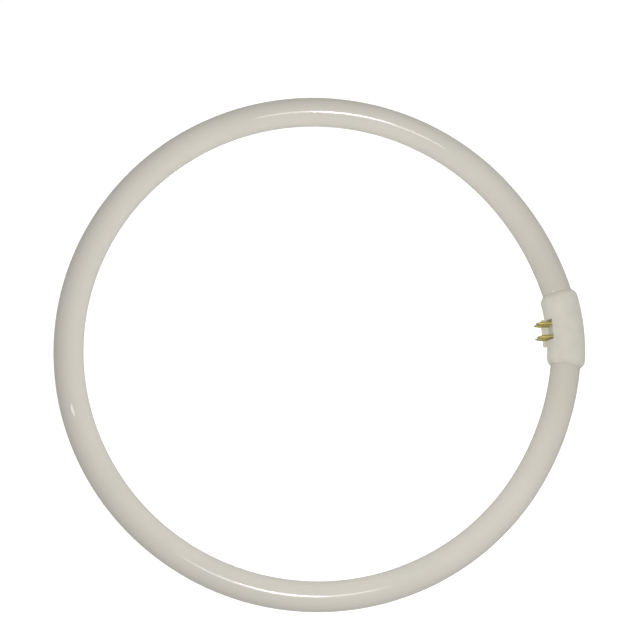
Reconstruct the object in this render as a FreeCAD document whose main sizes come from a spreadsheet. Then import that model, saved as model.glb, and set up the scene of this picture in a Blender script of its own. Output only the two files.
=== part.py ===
import FreeCAD, Part
import math
import os
import Sketcher

# Ring-shaped fluorescent lamp lying flat. The ring's centre is the origin, the
# tube's centre line lies in the plane z = 0 and the moulded base sits on +X.
# The four contact pins point from the base to the ring's centre. The tube is bent
# less near its two ends, so the ring stands out a little at the base, whose own
# sleeve is bent more and leads from one end of the tube into the other.

# In a sketch's constraints 1, 2 and 3 are a curve's start, end and centre,
# and -1 and -2 are the sketch's own x and y axes.

# Two places or sizes that differ by less than this, in mm, are taken as the same.
NEAR = 1e-3
# An edge is followed by its two ends and three places between them.
RIM_TESTS = 5

doc = FreeCAD.newDocument("ring_lamp")
sheet = doc.addObject("Spreadsheet::Sheet", "sizes")

SIZES = [
    ("ring_radius", 141.5, "ring centre to the centre line of the tube"),
    ("flat_from", 38.0, "angle from the base where the flatter ends begin, in degrees"),
    ("base_bend", 108.0, "bend radius of the base's centre line"),
    ("tube_dia", 17.0, "outside of the glass tube"),
    ("shoulder", 3.0, "rounding of the glass at each sealed end"),
    ("flare_room", 1.3, "room in the stem flare outside the lead wires"),
    ("flare_depth", 4.0, "depth of the stem flare"),
    ("flare_draft", 8.0, "slope of the flare's wall, in degrees"),
    ("exhaust_dia", 3.0, "sealed exhaust tip on the stem"),
    ("exhaust_length", 3.2, "length of the exhaust tip"),
    ("base_room", 0.8, "room between the glass and the inside of the base"),
    ("base_wall", 1.6, "wall of the moulded half shells"),
    ("base_round", 5.0, "rounding of the base's two ends"),
    ("glass_hold", 13.0, "length of glass inside the base at each end"),
    ("collar", 3.0, "length of the collar that closes on the glass"),
    ("glass_clear", 0.15, "play between collar and glass"),
    ("pin_dia", 2.36, "contact pin"),
    ("pin_pitch_along", 7.92, "pins' spacing along the tube"),
    ("pin_pitch_across", 6.35, "pins' spacing across the ring's plane"),
    ("pin_reach", 9.0, "pin wall to pin tip"),
    ("pin_nose", 5.2, "length of the pointed nose of a pin"),
    ("pin_tip_dia", 0.5, "blunt end of the nose"),
    ("pin_tail", 1.0, "pin behind its flange"),
    ("shank_step", 0.22, "step from the pin out to its shank in the wall"),
    ("flange_rim", 0.5, "step from the shank out to the flange"),
    ("flange_thick", 0.8, "flange that stops the pin behind the wall"),
    ("pin_clear", 0.02, "play between shank and wall"),
    ("recess_depth", 2.6, "pin wall behind the inner side of the base"),
    ("wall_thick", 2.2, "thickness of the pin wall"),
    ("plug_room", 0.6, "room for the plug beside the pins"),
    ("cheek", 2.26, "side wall of the recess"),
    ("rim_round", 0.4, "rounding of the recess's rim"),
    ("end_room", 1.5, "room between the cheek and the sealed glass end"),
    ("ledge_proud", 1.3, "key ledge in front of the inner side of the base"),
    ("ledge_room", 1.15, "room between the lower pins and the ledge"),
    ("ledge_thick", 3.0, "thickness of the ledge"),
    ("ledge_round", 0.8, "rounding of the ledge's corners"),
    ("tongue_cover", 0.7, "pin wall above the upper pins' shanks"),
    ("joint_clear", 0.1, "play between the two half shells"),
    ("joint_bevel", 0.25, "bevel along the parting edges of the half shells"),
    ("lip_width", 0.7, "locating lip on the back of the lower shell"),
    ("lip_height", 0.8, "height of the locating lip"),
    ("wire_dia", 0.6, "lead wire"),
    ("wire_clear", 0.1, "play of the lead wire in its pin"),
    ("wire_bend", 2.6, "bend of a lead wire"),
    ("wire_entry", 5.0, "length of lead wire inside its pin"),
]
for row, (alias, size, note) in enumerate(SIZES, start=1):
    sheet.set("A%d" % row, note)
    sheet.set("B%d" % row, str(size))
    sheet.setAlias("B%d" % row, alias)
doc.recompute()

# Sizes that follow from those in the sheet and that several features share.
RECESS = "(sizes.pin_pitch_along + sizes.pin_dia + 2 * sizes.plug_room)"
BLOCK = "(" + RECESS + " + 2 * sizes.cheek)"
BASE_LENGTH = "(" + BLOCK + " + 2 * sizes.end_room + 2 * sizes.glass_hold)"
TUBE_R = "(sizes.tube_dia / 2)"
BORE_R = "(" + TUBE_R + " + sizes.glass_clear)"
CAVITY_R = "(" + TUBE_R + " + sizes.base_room)"
MID_WALL_R = "(" + CAVITY_R + " + sizes.base_wall / 2)"
BASE_R = "(" + CAVITY_R + " + sizes.base_wall)"
PIN_Y = "sizes.pin_pitch_along / 2"
PIN_Z = "sizes.pin_pitch_across / 2"
PIN_R = "sizes.pin_dia / 2"
SHANK_R = "(sizes.pin_dia / 2 + sizes.shank_step)"
TONGUE = "(" + PIN_Z + " + " + SHANK_R + " + sizes.tongue_cover)"
LEDGE_TOP = "(sizes.pin_pitch_across / 2 + sizes.pin_dia / 2 + sizes.ledge_room)"
# Distances inwards from the base's centre line: the pin wall and the ledge.
WALL_IN = "(" + BASE_R + " - sizes.recess_depth)"
WALL_BACK_IN = "(" + WALL_IN + " - sizes.wall_thick)"
LEDGE_IN = "(" + BASE_R + " + sizes.ledge_proud)"
# The centre line is a ring arc, at each end a flatter arc that leaves it at the
# angle flat_from, and the base's arc, which leaves both of those smoothly. That
# fixes the flatter arc's radius and the two centres. Angles are in degrees.
DEGREES = " * 180 / pi"
BASE_HALF = "(" + BASE_LENGTH + " / 2 / sizes.base_bend" + DEGREES + ")"
END_BEND = (
    "((sizes.ring_radius * sin(sizes.flat_from) - sizes.base_bend * sin("
    + BASE_HALF + ")) / (sin(sizes.flat_from) - sin(" + BASE_HALF + ")))"
)
END_X = "((sizes.ring_radius - " + END_BEND + ") * cos(sizes.flat_from))"
END_Y = "((sizes.ring_radius - " + END_BEND + ") * sin(sizes.flat_from))"
END_ANGLE = "(" + BASE_HALF + " - sizes.glass_hold / " + END_BEND + DEGREES + ")"
BASE_X = (
    "(" + END_X + " + (" + END_BEND + " - sizes.base_bend) * cos(" + BASE_HALF + "))"
)
BASE_MID = "(" + BASE_X + " + sizes.base_bend)"
WALL_X = "(" + BASE_MID + " - " + WALL_IN + ")"
CAVITY_ANGLE = "(" + BASE_LENGTH + " - 2 * sizes.collar) / sizes.base_bend" + DEGREES


def value(expression):
    """Number that an expression on the sizes gives now."""
    result = sheet.evalExpression(expression)
    return float(getattr(result, "Value", result))


def new_body(label):
    body = doc.addObject("PartDesign::Body", label)
    body.Label = label
    return body


def origin_plane(body, role):
    return next(f for f in body.Origin.OriginFeatures if f.Role == role)


def new_sketch(body, name, role, lift="0", shift="0"):
    """Sketch on an origin plane: lifted along its normal, shifted along its x."""
    sketch = body.newObject("Sketcher::SketchObject", body.Name + "_" + name)
    sketch.AttachmentSupport = [(origin_plane(body, role), "")]
    sketch.MapMode = "FlatFace"
    sketch.AttachmentOffset = FreeCAD.Placement(
        FreeCAD.Vector(value(shift), 0, value(lift)), FreeCAD.Rotation()
    )
    sketch.setExpression("AttachmentOffset.Base.x", shift)
    sketch.setExpression("AttachmentOffset.Base.z", lift)
    return sketch


def dimension(sketch, name, expression, *constraint):
    """Named dimension of a sketch, driven by the sizes."""
    index = sketch.addConstraint(Sketcher.Constraint(*constraint, value(expression)))
    sketch.renameConstraint(index, name)
    sketch.setExpression("Constraints." + name, expression)


def circle(sketch, name, x, y, radius):
    """Round outline with its centre at x, y from the sketch's origin."""
    centre = FreeCAD.Vector(value(x), value(y), 0)
    geo = sketch.addGeometry(Part.Circle(centre, FreeCAD.Vector(0, 0, 1), value(radius)))
    place(sketch, name, geo, 3, x, y)
    dimension(sketch, name + "_radius", radius, "Radius", geo)
    return geo


def place(sketch, name, geo, point, x, y):
    """Hold a point of a sketch at x, y; each may be negative or zero."""
    for axis, kind, expression in (("x", "DistanceX", x), ("y", "DistanceY", y)):
        if expression == "0":
            line = -2 if axis == "x" else -1
            sketch.addConstraint(
                Sketcher.Constraint("PointOnObject", geo, point, line)
            )
        elif value(expression) < 0:
            dimension(
                sketch, name + "_" + axis, "-(" + expression + ")",
                kind, geo, point, -1, 1,
            )
        else:
            dimension(
                sketch, name + "_" + axis, expression, kind, -1, 1, geo, point,
            )


def outline(sketch, points):
    """Closed outline of straight lines through points given as expressions."""
    corners = [FreeCAD.Vector(value(x), value(y), 0) for x, y in points]
    count = len(corners)
    first = sketch.GeometryCount
    for i in range(count):
        sketch.addGeometry(Part.LineSegment(corners[i], corners[(i + 1) % count]))
    for i in range(count):
        following = first + (i + 1) % count
        sketch.addConstraint(
            Sketcher.Constraint("Coincident", first + i, 2, following, 1)
        )
    for i, (x, y) in enumerate(points):
        place(sketch, "p%d" % (first + i), first + i, 1, x, y)


def rectangle(sketch, x0, x1, y0, y1):
    outline(sketch, [(x0, y0), (x1, y0), (x1, y1), (x0, y1)])


def half_disc(body, name, radius, side):
    """Half of a round section of the base, on the side of the ring's plane given.

    The sketch starts at the axis that the base is bent about.
    """
    sketch = new_sketch(body, name, "XZ_Plane", shift=BASE_X)
    centre = FreeCAD.Vector(value("sizes.base_bend"), 0, 0)
    r = value(radius)
    start = 0 if side > 0 else math.pi
    bow = Part.ArcOfCircle(
        Part.Circle(centre, FreeCAD.Vector(0, 0, 1), r), start, start + math.pi
    )
    reach = FreeCAD.Vector(side * r, 0, 0)
    arc = sketch.addGeometry(bow)
    flat = sketch.addGeometry(Part.LineSegment(centre - reach, centre + reach))
    sketch.addConstraint(Sketcher.Constraint("Coincident", arc, 2, flat, 1))
    sketch.addConstraint(Sketcher.Constraint("Coincident", arc, 1, flat, 2))
    sketch.addConstraint(Sketcher.Constraint("PointOnObject", arc, 1, -1))
    sketch.addConstraint(Sketcher.Constraint("PointOnObject", arc, 2, -1))
    place(sketch, "centre", arc, 3, "sizes.base_bend", "0")
    dimension(sketch, "radius", radius, "Radius", arc)
    return sketch


def turned(body, kind, sketch, angle, axis="V_Axis"):
    """Section carried round its sketch's axis, half the angle to each side."""
    feature = body.newObject("PartDesign::" + kind, sketch.Name + "_turned")
    feature.Profile = sketch
    feature.ReferenceAxis = (sketch, [axis])
    if angle:
        feature.Midplane = True
        feature.setExpression("Angle", angle)
    elif kind == "Groove":
        feature.Type = "ThroughAll"
    else:
        feature.Angle = 360
    sketch.Visibility = False
    doc.recompute()
    return feature


def straight(body, kind, sketch, length, reverse=False, both=False):
    """Pad or pocket of a sketch along its normal."""
    feature = body.newObject("PartDesign::" + kind, sketch.Name + "_" + kind.lower())
    feature.Profile = sketch
    feature.setExpression("Length", length)
    feature.Reversed = reverse
    if both:
        feature.SideType = "Symmetric"
    sketch.Visibility = False
    doc.recompute()
    return feature


def dressed(body, base, name, kind, size, wanted):
    """Fillet or chamfer on the edges of a feature that the test picks out."""
    names = [
        "Edge%d" % (i + 1) for i, e in enumerate(base.Shape.Edges) if wanted(e)
    ]
    feature = body.newObject("PartDesign::" + kind, body.Name + "_" + name)
    feature.Base = (base, names)
    feature.setExpression("Radius" if kind == "Fillet" else "Size", size)
    doc.recompute()
    return feature


def mirrored(body, name, features):
    """The same features again on the other side of the plane y = 0."""
    feature = body.newObject("PartDesign::Mirrored", body.Name + "_" + name)
    feature.Originals = features
    feature.MirrorPlane = (origin_plane(body, "XZ_Plane"), [""])
    body.Tip = feature
    doc.recompute()
    return feature


def on_rim(edge):
    """True for an edge where the recess cuts the outside of the sleeve."""
    for point in edge.discretize(RIM_TESTS):
        out = math.hypot(point.x - value(BASE_X), point.y) - value("sizes.base_bend")
        if abs(math.hypot(out, point.z) - value(BASE_R)) > NEAR:
            return False
    side = value(RECESS) / 2
    box = edge.BoundBox
    return (
        abs(box.XMax - value(WALL_X)) < NEAR and box.XMax - box.XMin < NEAR
        or abs(abs(box.YMax) - side) < NEAR and box.YMax - box.YMin < NEAR
    )


def is_bow(edge, radius, turn):
    """True for a round edge of this radius that runs through this angle."""
    curve = edge.Curve
    return (
        curve.TypeId == "Part::GeomCircle"
        and abs(curve.Radius - radius) < NEAR
        and abs(edge.Length - turn * radius) < NEAR
    )


# Glass tube: a round tube bent to a ring, with flatter ends, and opened on +X.
# Each end is drawn in to a rounded shoulder round the sunk flare of the stem,
# which carries the sealed exhaust tip. White phosphor hides the inside.
glass = new_body("glass_tube")
section = new_sketch(glass, "section", "XZ_Plane")
circle(section, "tube", "-sizes.ring_radius", "0", TUBE_R)
turned(glass, "Revolution", section, "360 - 2 * sizes.flat_from")


def end_sketch(name, angle, lift="0"):
    """Sketch square to the tube's end on the +Y side, at an angle about its bend."""
    sketch = new_sketch(glass, name, "XZ_Plane")
    across = END_X + " + (" + lift + ") * sin(" + angle + ")"
    along = "(" + lift + ") * cos(" + angle + ") - " + END_Y
    sketch.AttachmentOffset = FreeCAD.Placement(
        FreeCAD.Vector(value(across), 0, value(along)),
        FreeCAD.Rotation(FreeCAD.Vector(0, 1, 0), value(angle)),
    )
    sketch.setExpression("AttachmentOffset.Rotation.Angle", angle)
    sketch.setExpression("AttachmentOffset.Base.x", across)
    sketch.setExpression("AttachmentOffset.Base.z", along)
    return sketch


end_section = end_sketch("end_section", "(sizes.flat_from + " + END_ANGLE + ") / 2")
circle(end_section, "tube", END_BEND, "0", TUBE_R)
flat_end = turned(
    glass, "Revolution", end_section, "sizes.flat_from - " + END_ANGLE
)
both_bends = mirrored(glass, "both_bends", [flat_end])
tube_r = value(TUBE_R)
half_base = value(BASE_LENGTH) / 2
dressed(
    glass, both_bends, "shoulders", "Fillet", "sizes.shoulder",
    lambda e: is_bow(e, tube_r, 2 * math.pi) and abs(e.Curve.Center.y) < half_base,
)
mouth = end_sketch("flare", END_ANGLE)
FLARE_R = "(sizes.pin_pitch_across + sizes.wire_dia) / 2 + sizes.flare_room"
circle(mouth, "mouth", END_BEND, "0", FLARE_R)
flare = straight(glass, "Pocket", mouth, "sizes.flare_depth")
flare.setExpression("TaperAngle", "-sizes.flare_draft")
stub = end_sketch("exhaust", END_ANGLE, "-sizes.flare_depth")
circle(stub, "stub", END_BEND, "0", "sizes.exhaust_dia / 2")
exhaust = straight(glass, "Pad", stub, "sizes.exhaust_length")
mirrored(glass, "both_stems", [flare, exhaust])


def half_shell(label, side):
    """Half of the curved sleeve: rounded ends, hollow, collars on the glass."""
    shell = new_body(label)
    outside = half_disc(shell, "outside", BASE_R, side)
    sleeve = turned(shell, "Revolution", outside, "2 * " + BASE_HALF)
    base_r = value(BASE_R)
    ends = dressed(
        shell, sleeve, "ends", "Fillet", "sizes.base_round",
        lambda e: is_bow(e, base_r, math.pi),
    )
    dressed(
        shell, ends, "joint", "Chamfer", "sizes.joint_bevel",
        lambda e: max(abs(e.BoundBox.ZMin), abs(e.BoundBox.ZMax)) < NEAR,
    )
    turned(shell, "Groove", half_disc(shell, "cavity", CAVITY_R, side), CAVITY_ANGLE)
    turned(shell, "Groove", half_disc(shell, "bore", BORE_R, side), None)
    # Solid web behind the pins: it fills the hollow from the middle of the
    # sleeve's wall to the flat back of the pin wall.
    web = new_sketch(shell, "web", "XZ_Plane", shift=BASE_MID)
    r = value(MID_WALL_R)
    back = value(WALL_BACK_IN)
    centre = FreeCAD.Vector(0, 0, 0)
    low = math.pi - math.acos(back / r)
    span = (low, math.pi) if side > 0 else (math.pi, 2 * math.pi - low)
    arc = web.addGeometry(
        Part.ArcOfCircle(Part.Circle(centre, FreeCAD.Vector(0, 0, 1), r), *span)
    )
    foot = centre - FreeCAD.Vector(back, 0, 0)
    edge = foot + FreeCAD.Vector(0, side * math.sqrt(r * r - back * back), 0)
    front = centre - FreeCAD.Vector(r, 0, 0)
    flat = web.addGeometry(Part.LineSegment(front, foot))
    upright = web.addGeometry(Part.LineSegment(foot, edge))
    at_front, at_edge = (2, 1) if side > 0 else (1, 2)
    web.addConstraint(Sketcher.Constraint("Coincident", arc, at_front, flat, 1))
    web.addConstraint(Sketcher.Constraint("Coincident", flat, 2, upright, 1))
    web.addConstraint(Sketcher.Constraint("Coincident", upright, 2, arc, at_edge))
    web.addConstraint(Sketcher.Constraint("PointOnObject", flat, 1, -1))
    web.addConstraint(Sketcher.Constraint("Vertical", upright))
    place(web, "centre", arc, 3, "0", "0")
    place(web, "foot", flat, 2, "-" + WALL_BACK_IN, "0")
    dimension(web, "radius", MID_WALL_R, "Radius", arc)
    straight(shell, "Pad", web, BLOCK, both=True)
    return shell


# Lower half of the base. It carries the pin wall, whose upper part stands up as
# a tongue into the other half, and the ledge under the pins that keys the plug.
lower = half_shell("base_lower_shell", -1)
half_block = BLOCK + " / 2"
half_recess = RECESS + " / 2"
step = new_sketch(lower, "ledge", "XY_Plane", "-" + LEDGE_TOP, BASE_MID)
rectangle(step, "-" + LEDGE_IN, "-" + WALL_BACK_IN, "-" + half_block, half_block)
slab = straight(lower, "Pad", step, "sizes.ledge_thick", reverse=True)
ledge_x = value(BASE_MID) - value(LEDGE_IN)
ledge_z = -value(LEDGE_TOP)
dressed(
    lower, slab, "ledge_corners", "Fillet", "sizes.ledge_round",
    lambda e: abs(e.BoundBox.XMax - ledge_x) < NEAR
    and e.BoundBox.ZMin < ledge_z - NEAR,
)
recess = new_sketch(lower, "recess", "XY_Plane", "-" + LEDGE_TOP, BASE_MID)
open_x = "-(" + LEDGE_IN + " + sizes.recess_depth)"
rectangle(recess, open_x, "-" + WALL_IN, "-" + half_recess, half_recess)
cut = straight(lower, "Pocket", recess, LEDGE_TOP, reverse=True)
dressed(lower, cut, "rim", "Fillet", "sizes.rim_round", on_rim)
rise = new_sketch(lower, "tongue", "XY_Plane", shift=BASE_MID)
tongue_side = "(" + half_recess + " - sizes.joint_clear)"
rectangle(rise, "-" + WALL_IN, "-" + WALL_BACK_IN, "-" + tongue_side, tongue_side)
straight(lower, "Pad", rise, TONGUE)
lip = new_sketch(lower, "lip", "XZ_Plane", shift=BASE_X)
lip_in = "sizes.base_bend + " + CAVITY_R
rectangle(lip, lip_in, lip_in + " + sizes.lip_width", "0", "sizes.lip_height")
turned(lower, "Revolution", lip, CAVITY_ANGLE)
holes = new_sketch(lower, "pin_holes", "YZ_Plane", WALL_X)
HOLE_R = SHANK_R + " + sizes.pin_clear"
circle(holes, "a", PIN_Y, PIN_Z, HOLE_R)
circle(holes, "b", "-" + PIN_Y, PIN_Z, HOLE_R)
circle(holes, "c", PIN_Y, "-" + PIN_Z, HOLE_R)
circle(holes, "d", "-" + PIN_Y, "-" + PIN_Z, HOLE_R)
straight(lower, "Pocket", holes, "sizes.wall_thick", reverse=True)

# Upper half of the base, a plain cover: the recess runs up through it, a slot
# takes the tongue of the pin wall, and a rebate takes the locating lip.
upper = half_shell("base_upper_shell", 1)
recess = new_sketch(upper, "recess", "XY_Plane", shift=BASE_MID)
rectangle(recess, open_x, "-" + WALL_IN, "-" + half_recess, half_recess)
cut = straight(upper, "Pocket", recess, BASE_R, reverse=True)
dressed(upper, cut, "rim", "Fillet", "sizes.rim_round", on_rim)
slot = new_sketch(upper, "slot", "XY_Plane", shift=BASE_MID)
rectangle(slot, "-" + WALL_IN, "-" + WALL_BACK_IN, "-" + half_recess, half_recess)
straight(upper, "Pocket", slot, TONGUE + " + sizes.joint_clear", reverse=True)
rebate = new_sketch(upper, "rebate", "XZ_Plane", shift=BASE_X)
rectangle(
    rebate, lip_in, lip_in + " + sizes.lip_width + sizes.joint_clear",
    "0", "sizes.lip_height + sizes.joint_clear",
)
turned(upper, "Groove", rebate, CAVITY_ANGLE)


def contact_pin(label, along, across):
    """Turned brass pin: pointed nose, shank through the wall, flange and tail."""
    pin = new_body(label)
    half = new_sketch(pin, "profile", "XY_Plane")
    flange = SHANK_R + " + sizes.flange_rim"
    bore = "sizes.wire_dia / 2 + sizes.wire_clear"
    nose = "-(sizes.pin_reach - sizes.pin_nose)"
    rim = "sizes.wall_thick + sizes.flange_thick"
    end = rim + " + sizes.pin_tail"
    floor = rim + " + sizes.pin_tail - sizes.wire_entry"
    points = [
        (nose, PIN_R),
        ("0", PIN_R),
        ("0", SHANK_R),
        ("sizes.wall_thick", SHANK_R),
        ("sizes.wall_thick", flange),
        (rim, flange),
        (rim, SHANK_R),
        (end, SHANK_R),
        (end, bore),
        (floor, bore),
        (floor, "0"),
        ("-sizes.pin_reach", "0"),
        ("-sizes.pin_reach", "sizes.pin_tip_dia / 2"),
    ]
    corners = [FreeCAD.Vector(value(x), value(y), 0) for x, y in points]
    for i in range(len(points) - 1):
        half.addGeometry(Part.LineSegment(corners[i], corners[i + 1]))
    for i in range(len(points) - 2):
        half.addConstraint(Sketcher.Constraint("Coincident", i, 2, i + 1, 1))
    for i, (x, y) in enumerate(points[:-1]):
        place(half, "p%d" % i, i, 1, x, y)
    last = len(points) - 2
    place(half, "tip", last, 2, *points[-1])
    # The nose is an arc that leaves the shank smoothly and ends at the blunt tip.
    drop = corners[0].y - corners[-1].y
    run = corners[0].x - corners[-1].x
    bow = (run * run + drop * drop) / (2 * drop)
    middle = FreeCAD.Vector(corners[0].x, corners[0].y - bow, 0)
    sweep = math.asin(run / bow)
    arc = half.addGeometry(
        Part.ArcOfCircle(
            Part.Circle(middle, FreeCAD.Vector(0, 0, 1), bow),
            math.pi / 2, math.pi / 2 + sweep,
        )
    )
    half.addConstraint(Sketcher.Constraint("Tangent", arc, 1, 0, 1))
    half.addConstraint(Sketcher.Constraint("Coincident", arc, 2, last, 2))
    turned(pin, "Revolution", half, None, "H_Axis")
    pin.setExpression("Placement.Base.x", WALL_X)
    pin.setExpression("Placement.Base.y", along)
    pin.setExpression("Placement.Base.z", across)
    doc.recompute()


def lead_wire(label, along, across):
    """Lead wire from the floor of a stem flare round one bend into its pin."""
    wire = new_body(label)
    side = 1 if value(along) > 0 else -1
    start = (
        "(sizes.flange_thick + sizes.pin_tail - sizes.wire_entry - "
        + WALL_BACK_IN + ")"
    )
    stem_x = (
        "(" + END_X + " + " + END_BEND + " * cos(" + END_ANGLE + ")"
        + " - sizes.flare_depth * sin(" + END_ANGLE + ") - " + BASE_MID + ")"
    )
    stem_y = (
        "(" + END_Y + " + " + END_BEND + " * sin(" + END_ANGLE + ")"
        + " + sizes.flare_depth * cos(" + END_ANGLE + "))"
    )
    if side < 0:
        stem_y = "-" + stem_y
    turn = math.radians(value(END_ANGLE))
    a = FreeCAD.Vector(value(start), value(along), 0)
    b = FreeCAD.Vector(value(stem_x), value(stem_y), 0)
    corner_x = b.x + (abs(b.y) - abs(a.y)) * math.tan(turn)
    r = value("sizes.wire_bend")
    trim = r * math.tan(math.pi / 4 + turn / 2)
    away = FreeCAD.Vector(-math.sin(turn), side * math.cos(turn), 0)
    corner = FreeCAD.Vector(corner_x, a.y, 0)
    p = corner - FreeCAD.Vector(trim, 0, 0)
    q = corner + away * trim
    middle = p + FreeCAD.Vector(0, side * r, 0)
    path = new_sketch(wire, "path", "XY_Plane", across, BASE_MID)
    in_pin = path.addGeometry(Part.LineSegment(a, p))
    leaving = math.atan2(q.y - middle.y, q.x - middle.x)
    if side > 0:
        span = (-math.pi / 2, leaving)
        by_pin, by_stem = 1, 2
    else:
        span = (leaving, math.pi / 2)
        by_pin, by_stem = 2, 1
    bend = path.addGeometry(
        Part.ArcOfCircle(Part.Circle(middle, FreeCAD.Vector(0, 0, 1), r), *span)
    )
    to_stem = path.addGeometry(Part.LineSegment(q, b))
    path.addConstraint(Sketcher.Constraint("Horizontal", in_pin))
    path.addConstraint(Sketcher.Constraint("Tangent", in_pin, 2, bend, by_pin))
    path.addConstraint(Sketcher.Constraint("Tangent", bend, by_stem, to_stem, 1))
    place(path, "pin_end", in_pin, 1, start, along)
    place(path, "stem_end", to_stem, 2, stem_x, stem_y)
    dimension(path, "bend", "sizes.wire_bend", "Radius", bend)
    profile = new_sketch(wire, "section", "YZ_Plane", BASE_MID + " + " + start)
    circle(profile, "wire", along, across, "sizes.wire_dia / 2")
    doc.recompute()
    pipe = wire.newObject("PartDesign::AdditivePipe", wire.Name + "_pipe")
    pipe.Profile = profile
    pipe.Spine = (path, ["Edge1", "Edge2", "Edge3"])
    doc.recompute()


# Four pins on the corners of an oblong, two above and two below the ring's
# plane, and for each the lead wire that comes from the nearer sealed end.
CORNERS = [
    (PIN_Y, PIN_Z),
    ("-" + PIN_Y, PIN_Z),
    (PIN_Y, "-" + PIN_Z),
    ("-" + PIN_Y, "-" + PIN_Z),
]
for number, (along, across) in enumerate(CORNERS, start=1):
    contact_pin("contact_pin_%d" % number, along, across)
    lead_wire("lead_wire_%d" % number, along, across)

doc.recompute()
for item in doc.Objects:
    if "Invalid" in item.State or "Error" in item.State:
        raise RuntimeError("%s did not build" % item.Name)
parts = [item for item in doc.Objects if item.TypeId == "PartDesign::Body"]
for item in parts:
    shape = item.Shape
    if shape.isNull() or not shape.isValid() or len(shape.Solids) != 1:
        raise RuntimeError("%s is not one sound solid" % item.Label)
os.makedirs("parts", exist_ok=True)
for item in parts:
    item.Shape.exportStep("parts/%s.step" % item.Label)
    print(item.Label, round(item.Shape.Volume, 2), item.Shape.BoundBox)
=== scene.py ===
import math

import bpy
import numpy as np
from mathutils import Matrix, Quaternion, Vector


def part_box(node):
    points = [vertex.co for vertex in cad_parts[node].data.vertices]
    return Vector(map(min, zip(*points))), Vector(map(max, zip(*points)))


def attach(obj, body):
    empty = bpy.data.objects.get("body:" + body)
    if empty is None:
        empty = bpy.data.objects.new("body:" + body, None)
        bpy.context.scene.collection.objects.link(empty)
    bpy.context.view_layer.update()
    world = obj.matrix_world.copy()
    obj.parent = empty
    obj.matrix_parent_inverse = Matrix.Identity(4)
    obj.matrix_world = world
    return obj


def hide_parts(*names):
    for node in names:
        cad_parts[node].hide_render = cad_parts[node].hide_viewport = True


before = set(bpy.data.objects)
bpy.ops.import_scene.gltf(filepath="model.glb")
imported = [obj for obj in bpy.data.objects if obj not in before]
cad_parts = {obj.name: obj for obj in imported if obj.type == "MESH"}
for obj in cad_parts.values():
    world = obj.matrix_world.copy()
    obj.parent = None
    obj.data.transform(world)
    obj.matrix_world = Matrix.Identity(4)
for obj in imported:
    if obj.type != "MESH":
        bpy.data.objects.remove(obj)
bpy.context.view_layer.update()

# Glass tube: clear soda-lime tube drawn straight, coated inside with white
# phosphor powder and bent hot to a ring, less so near its ends. Both ends are
# sealed over a sunk flare with an exhaust tip, out of sight inside the base.
tube_low, tube_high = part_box("glass_tube")
tube_radius = tube_high.z
ring_radius = tube_high.y - tube_radius
flat_from = math.radians(38)
end_bend = 0.158448
end_angle = math.radians(7.2357)
shoulder = 0.003
shoulder_steps = 10
flare_mouth = 0.004775
flare_floor = 0.00421
flare_depth = 0.004
tip_radius = 0.0015
tip_length = 0.0032
tip_chamfer = 0.00045
ring_steps = 400
round_steps = 72

# Each wave of the bending: its count round the ring, the side that leads and
# where it starts, both as angles.
bend_waves = ((9, 5, 0.4), (17, 3, 2.1), (23, 7, 4.0), (31, 2, 1.2))
wave_depth = 0.00002

# The powder is greyer near the electrodes, by its distance from the middle of
# the base, which lies one base radius inside the base's outermost point.
base_low, base_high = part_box("base_lower_shell")
base_middle = base_high.x + base_low.z
grey_from = 0.022
grey_to = 0.105
patch_size = 0.035
powder_size = 0.0006
powder_depth = 0.00003
noise_low = 0.3
noise_high = 0.7


def sealed_end():
    """Half section of a sealed end as (distance from the end face, radius).

    From the middle of the exhaust tip out to its chamfered rim, down to the floor
    of the flare, up its cone to the mouth and over the quarter-round shoulder.
    """
    turn = np.linspace(0, math.pi / 2, shoulder_steps)
    tip_face = flare_depth - tip_length
    sunk = np.array([
        [tip_face, 0],
        [tip_face, tip_radius - tip_chamfer],
        [tip_face + tip_chamfer, tip_radius],
        [flare_depth, tip_radius],
        [flare_depth, flare_floor],
        [0, flare_mouth],
    ])
    rim = np.column_stack([
        shoulder * (1 - np.cos(turn)),
        tube_radius - shoulder * (1 - np.sin(turn)),
    ])
    return np.vstack([sunk, rim])


def centre_line(along, length):
    """Places (x, y) and outward angles at distances along the centre line.

    A flat arc of the end bend from the end angle on, then the ring's own arc
    about the origin from the angle flat_from on; both are mirrored at y = 0.
    """
    flat_length = end_bend * (flat_from - end_angle)
    near = np.minimum(along, length - along)
    flat = near < flat_length
    angle = np.where(
        flat, end_angle + near / end_bend,
        flat_from + (near - flat_length) / ring_radius,
    )
    bend = np.where(flat, end_bend, ring_radius)
    x = (ring_radius - bend) * math.cos(flat_from) + bend * np.cos(angle)
    y = (ring_radius - bend) * math.sin(flat_from) + bend * np.sin(angle)
    side = np.where(along < length / 2, 1, -1)
    return x, side * y, side * angle


def bent_tube():
    """Grid of points: a round section carried along the ring's centre line.

    The radius is the tube's, less a small sum of sines of the way along and the
    angle around, which is the waviness left by bending.
    """
    end = sealed_end()
    length = 2 * (
        end_bend * (flat_from - end_angle) + ring_radius * (math.pi - flat_from)
    )
    middle = np.linspace(shoulder, length - shoulder, ring_steps)[1:-1]
    along = np.concatenate([end[:, 0], middle, length - end[::-1, 0]])[:, None]
    body = np.full(len(middle), tube_radius)
    radius = np.concatenate([end[:, 1], body, end[::-1, 1]])[:, None]
    turn = np.linspace(0, 2 * math.pi, round_steps, endpoint=False)[None, :]
    way = 2 * math.pi * along / length
    wave = sum(
        np.sin(count * way + start + np.cos(turn - side))
        for count, side, start in bend_waves
    )
    depth = wave_depth * (wave / len(bend_waves) - 1)
    wide = radius + np.where(radius < tube_radius, 0, depth)
    x, y, angle = centre_line(along, length)
    return np.stack([
        x + wide * np.cos(turn) * np.cos(angle),
        y + wide * np.cos(turn) * np.sin(angle),
        wide * np.sin(turn),
    ], axis=-1)


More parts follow.
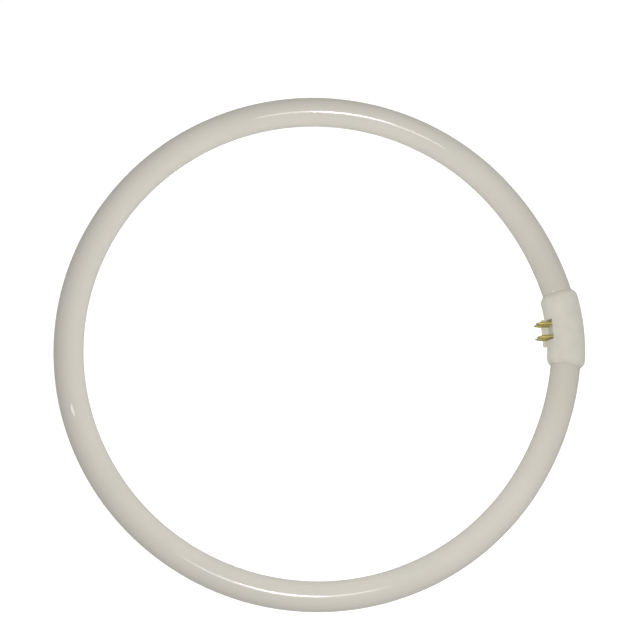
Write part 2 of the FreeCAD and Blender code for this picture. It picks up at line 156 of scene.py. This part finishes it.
def placed(name, data):
    """New object of this data, put into the scene."""
    thing = bpy.data.objects.new(name, data)
    bpy.context.scene.collection.objects.link(thing)
    return thing


def surface(name, grid):
    """Closed mesh of a grid whose columns meet and whose end rows are points."""
    rows, columns = grid.shape[:2]
    points = np.vstack([grid[:1, 0], grid[1:-1].reshape(-1, 3), grid[-1:, 0]])
    index = 1 + np.arange((rows - 2) * columns).reshape(rows - 2, columns)
    after = np.roll(index, -1, axis=1)
    quads = np.stack([index[:-1], after[:-1], after[1:], index[1:]], axis=-1)
    first = np.stack([np.zeros(columns, int), after[0], index[0]], axis=-1)
    last = np.full(columns, len(points) - 1)
    final = np.stack([last, index[-1], after[-1]], axis=-1)
    mesh = bpy.data.meshes.new(name)
    faces = first.tolist() + quads.reshape(-1, 4).tolist() + final.tolist()
    mesh.from_pydata(points.tolist(), [], faces)
    mesh.shade_smooth()
    return placed(name, mesh)


def finish_of(name):
    """New material: the material, its nodes, its link call and its shader."""
    material = bpy.data.materials.new(name)
    material.use_nodes = True
    nodes = material.node_tree.nodes
    return material, nodes, material.node_tree.links.new, nodes["Principled BSDF"]


def clouds(nodes, link, size, detail):
    """Soft noise fixed to the piece, with patches of about this size in metres."""
    place = nodes.new("ShaderNodeTexCoord")
    noise = nodes.new("ShaderNodeTexNoise")
    noise.inputs["Scale"].default_value = 1 / size
    noise.inputs["Detail"].default_value = detail
    link(place.outputs["Object"], noise.inputs["Vector"])
    return noise.outputs["Fac"]


def blend_of(nodes, link, share, low, high, start=0.35, stop=0.65):
    """Colour that goes from low to high as the share goes from start to stop."""
    ramp = nodes.new("ShaderNodeValToRGB")
    ramp.color_ramp.elements[0].position = start
    ramp.color_ramp.elements[1].position = stop
    ramp.color_ramp.elements[0].color = (*low, 1)
    ramp.color_ramp.elements[1].color = (*high, 1)
    link(share, ramp.inputs["Fac"])
    return ramp.outputs["Color"]


def span_of(nodes, link, share, low, high):
    """Number that goes from low to high with a noise's usual range."""
    span = nodes.new("ShaderNodeMapRange")
    span.inputs["From Min"].default_value = noise_low
    span.inputs["From Max"].default_value = noise_high
    span.inputs["To Min"].default_value = low
    span.inputs["To Max"].default_value = high
    link(share, span.inputs["Value"])
    return span.outputs["Result"]


def grain(nodes, link, height, depth, strength):
    """Bump from a height, with its depth in metres."""
    bump = nodes.new("ShaderNodeBump")
    bump.inputs["Distance"].default_value = depth
    bump.inputs["Strength"].default_value = strength
    link(height, bump.inputs["Height"])
    return bump.outputs["Normal"]


def coated_glass():
    """Matt warm-white powder under clear glossy glass, greyer near the electrodes."""
    warm = (0.545, 0.517, 0.459)
    cool = (0.520, 0.503, 0.449)
    end_tone = (0.872, 0.858, 0.832)
    clean = (1, 1, 1)
    material, nodes, link, shader = finish_of("coated_glass")
    patches = clouds(nodes, link, patch_size, detail=2)
    place = nodes.new("ShaderNodeTexCoord")
    away = nodes.new("ShaderNodeVectorMath")
    away.operation = "DISTANCE"
    link(place.outputs["Object"], away.inputs[0])
    away.inputs[1].default_value = (base_middle, 0, 0)
    shade = nodes.new("ShaderNodeMapRange")
    shade.inputs["From Min"].default_value = grey_from
    shade.inputs["From Max"].default_value = grey_to
    link(away.outputs["Value"], shade.inputs["Value"])
    share = shade.outputs["Result"]
    greying = blend_of(nodes, link, share, end_tone, clean, start=0, stop=1)
    powder_tone = nodes.new("ShaderNodeVectorMath")
    powder_tone.operation = "MULTIPLY"
    link(blend_of(nodes, link, patches, cool, warm), powder_tone.inputs[0])
    link(greying, powder_tone.inputs[1])
    link(powder_tone.outputs["Vector"], shader.inputs["Base Color"])
    powder = clouds(nodes, link, powder_size, detail=2)
    dullness = span_of(nodes, link, powder, low=0.50, high=0.62)
    link(dullness, shader.inputs["Roughness"])
    bumps = grain(nodes, link, powder, powder_depth, strength=0.25)
    link(bumps, shader.inputs["Normal"])
    shader.inputs["Specular IOR Level"].default_value = 0.1
    shader.inputs["Coat Weight"].default_value = 1.0
    shader.inputs["Coat Roughness"].default_value = 0.03
    shader.inputs["Coat IOR"].default_value = 1.5
    return material


tube = surface("glass_ring", bent_tube())
tube.data.materials.append(coated_glass())
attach(tube, "root")
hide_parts("glass_tube")

# Base: two half shells of white moulded plastic that close on both ends of the
# glass. The lower one carries the pin wall and the key ledge; the upper one is
# a cover with a recess over the pins. They are snapped together and cemented.
flow_size = 0.009
texture_size = 0.00045
texture_depth = 0.00002


def base_plastic():
    """White moulded plastic, satin, with a fine spark-eroded mould texture."""
    pale = (0.547, 0.531, 0.468)
    deep = (0.513, 0.498, 0.436)
    material, nodes, link, shader = finish_of("base_plastic")
    flow = clouds(nodes, link, flow_size, detail=2)
    link(blend_of(nodes, link, flow, deep, pale), shader.inputs["Base Color"])
    texture = clouds(nodes, link, texture_size, detail=3)
    dullness = span_of(nodes, link, texture, low=0.30, high=0.42)
    link(dullness, shader.inputs["Roughness"])
    bumps = grain(nodes, link, texture, texture_depth, strength=0.25)
    link(bumps, shader.inputs["Normal"])
    shader.inputs["Subsurface Weight"].default_value = 0.6
    shader.inputs["Subsurface Radius"].default_value = (1.0, 0.95, 0.85)
    shader.inputs["Subsurface Scale"].default_value = 0.002
    return material


def dress(names, material):
    """Give CAD nodes this material in place of their own."""
    for name in names:
        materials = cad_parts[name].data.materials
        materials.clear()
        materials.append(material)


dress(("base_lower_shell", "base_upper_shell"), base_plastic())

# Contact pins: hollow brass pins turned to a point, pushed through the pin wall
# from behind until their flange stops them. Grey solder is left on their points.
pin_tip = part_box("contact_pin_1")[0].x
pin_reach = 0.009
spot_size = 0.0012
spot_share = 0.3
pin_count = 4


def pin_brass():
    """Turned brass, with a spotty edge to the grey solder on the point."""
    brass_tone = (0.68, 0.58, 0.21)
    solder = (0.40, 0.41, 0.33)
    material, nodes, link, shader = finish_of("pin_brass")
    place = nodes.new("ShaderNodeTexCoord")
    split = nodes.new("ShaderNodeSeparateXYZ")
    link(place.outputs["Object"], split.inputs["Vector"])
    out = nodes.new("ShaderNodeMapRange")
    out.inputs["From Min"].default_value = pin_tip + pin_reach
    out.inputs["From Max"].default_value = pin_tip
    out.inputs["To Max"].default_value = 1 - spot_share / 2
    link(split.outputs["X"], out.inputs["Value"])
    spots = clouds(nodes, link, spot_size, detail=3)
    mixed = nodes.new("ShaderNodeMath")
    mixed.operation = "MULTIPLY_ADD"
    link(spots, mixed.inputs[0])
    mixed.inputs[1].default_value = spot_share
    link(out.outputs["Result"], mixed.inputs[2])
    share = mixed.outputs["Value"]
    tone = blend_of(nodes, link, share, brass_tone, solder, start=0.82, stop=0.94)
    link(tone, shader.inputs["Base Color"])
    dullness = span_of(nodes, link, spots, low=0.34, high=0.48)
    link(dullness, shader.inputs["Roughness"])
    shader.inputs["Metallic"].default_value = 1.0
    return material


def numbered(name):
    """Names of the four like nodes of this name, one for each pin."""
    return ["%s_%d" % (name, number) for number in range(1, pin_count + 1)]


dress(numbered("contact_pin"), pin_brass())

# Lead wires: nickel-plated wire from the sealed glass ends, bent once and
# soldered into the hollow pins. They lie inside the closed base.
film_size = 0.001


def wire_nickel():
    """Dull drawn nickel."""
    dull = (0.42, 0.40, 0.37)
    bright = (0.55, 0.53, 0.50)
    material, nodes, link, shader = finish_of("wire_nickel")
    film = clouds(nodes, link, film_size, detail=2)
    link(blend_of(nodes, link, film, dull, bright), shader.inputs["Base Color"])
    dullness = span_of(nodes, link, film, low=0.30, high=0.45)
    link(dullness, shader.inputs["Roughness"])
    shader.inputs["Metallic"].default_value = 1.0
    return material


dress(numbered("lead_wire"), wire_nickel())

# Floor, light and camera. The lamp lies on a pale, faintly glowing floor, which
# touches the far side of the ring and the fatter base, so the ring leans by less
# than a degree. The lights by the camera and the strip make the glass's glints.
floor_reach = 6.0
floor_gap = 0.00005
ring_bottom = tube_low.z
lean = (ring_bottom - base_low.z) / (ring_radius + base_middle)


def floor_height(x):
    """Plane through the bottom of the ring at -X and of the base at +X."""
    return ring_bottom - lean * (x + ring_radius) - floor_gap


corners = [
    (x, y, floor_height(x))
    for x, y in (
        (-floor_reach, -floor_reach), (floor_reach, -floor_reach),
        (floor_reach, floor_reach), (-floor_reach, floor_reach),
    )
]
floor_mesh = bpy.data.meshes.new("floor")
floor_mesh.from_pydata(corners, [], [(0, 1, 2, 3)])
floor = placed("floor", floor_mesh)
white, _, _, shader = finish_of("floor_white")
shader.inputs["Base Color"].default_value = (0.94, 0.94, 0.945, 1)
shader.inputs["Roughness"].default_value = 0.9
shader.inputs["Specular IOR Level"].default_value = 0.0
shader.inputs["Emission Color"].default_value = (1, 1, 1, 1)
shader.inputs["Emission Strength"].default_value = 0.16
floor_mesh.materials.append(white)
floor.visible_glossy = False

world = bpy.data.worlds.new("studio")
bpy.context.scene.world = world
world.use_nodes = True
sky = world.node_tree.nodes["Background"]
sky.inputs["Color"].default_value = (1.0, 0.995, 0.98, 1)
sky.inputs["Strength"].default_value = 0.43

softbox_place = (0.115, -0.085, 0.60)
fill_height = 0.025
glint_place = (-0.011, -0.1666, 1.185)
halo_place = (-0.016, -0.1666, 1.190)
strip_place = (-0.594, 0.106, 1.111)
strip_aim = (-0.140, -0.028, 0.008)
strip_roll = math.radians(25.7)


def lamp(name, place, wide, high, power, aim=(0, 0, 0), roll=0.0):
    """Oval soft light at a place, facing the aim point, rolled about its beam."""
    data = bpy.data.lights.new(name, "AREA")
    data.shape = "ELLIPSE"
    data.size = wide
    data.size_y = high
    data.energy = power
    light = placed(name, data)
    light.location = place
    light.rotation_mode = "QUATERNION"
    facing = (Vector(aim) - Vector(place)).to_track_quat("-Z", "Y")
    light.rotation_quaternion = facing @ Quaternion((0, 0, 1), roll)
    return light


softbox = lamp("softbox", softbox_place, wide=0.3, high=0.3, power=2.3)
softbox.visible_glossy = False
softbox.data.use_shadow = False
fill_data = bpy.data.lights.new("fill", "POINT")
fill_data.energy = 0.06
fill_data.shadow_soft_size = 0.03
fill_data.use_shadow = False
fill = placed("fill", fill_data)
fill.location = (0, 0, fill_height)
fill.visible_glossy = False
lamp("lamp_by_camera", glint_place, wide=0.14, high=0.28, power=1.07)
lamp("lamp_halo", halo_place, wide=0.34, high=0.34, power=1.37)
lamp(
    "strip", strip_place, wide=0.03, high=0.4, power=0.165,
    aim=strip_aim, roll=strip_roll,
)

camera_place = Vector((-0.05864, -0.18573, 0.92324))
camera_aim = Vector((0.00287, 0.01547, 0))
picture_right = Vector((0.99569, -0.07871, 0.04919))
back = (camera_place - camera_aim).normalized()
right = (picture_right - back * picture_right.dot(back)).normalized()
up = back.cross(right)
lens = bpy.data.cameras.new("camera")
lens.sensor_width = 36.0
lens.lens = 92.62
camera = placed("camera", lens)
turn = Matrix((right, up, back)).transposed().to_4x4()
camera.matrix_world = Matrix.Translation(camera_place) @ turn
bpy.context.scene.camera = camera
bpy.context.scene.view_settings.view_transform = "Standard"
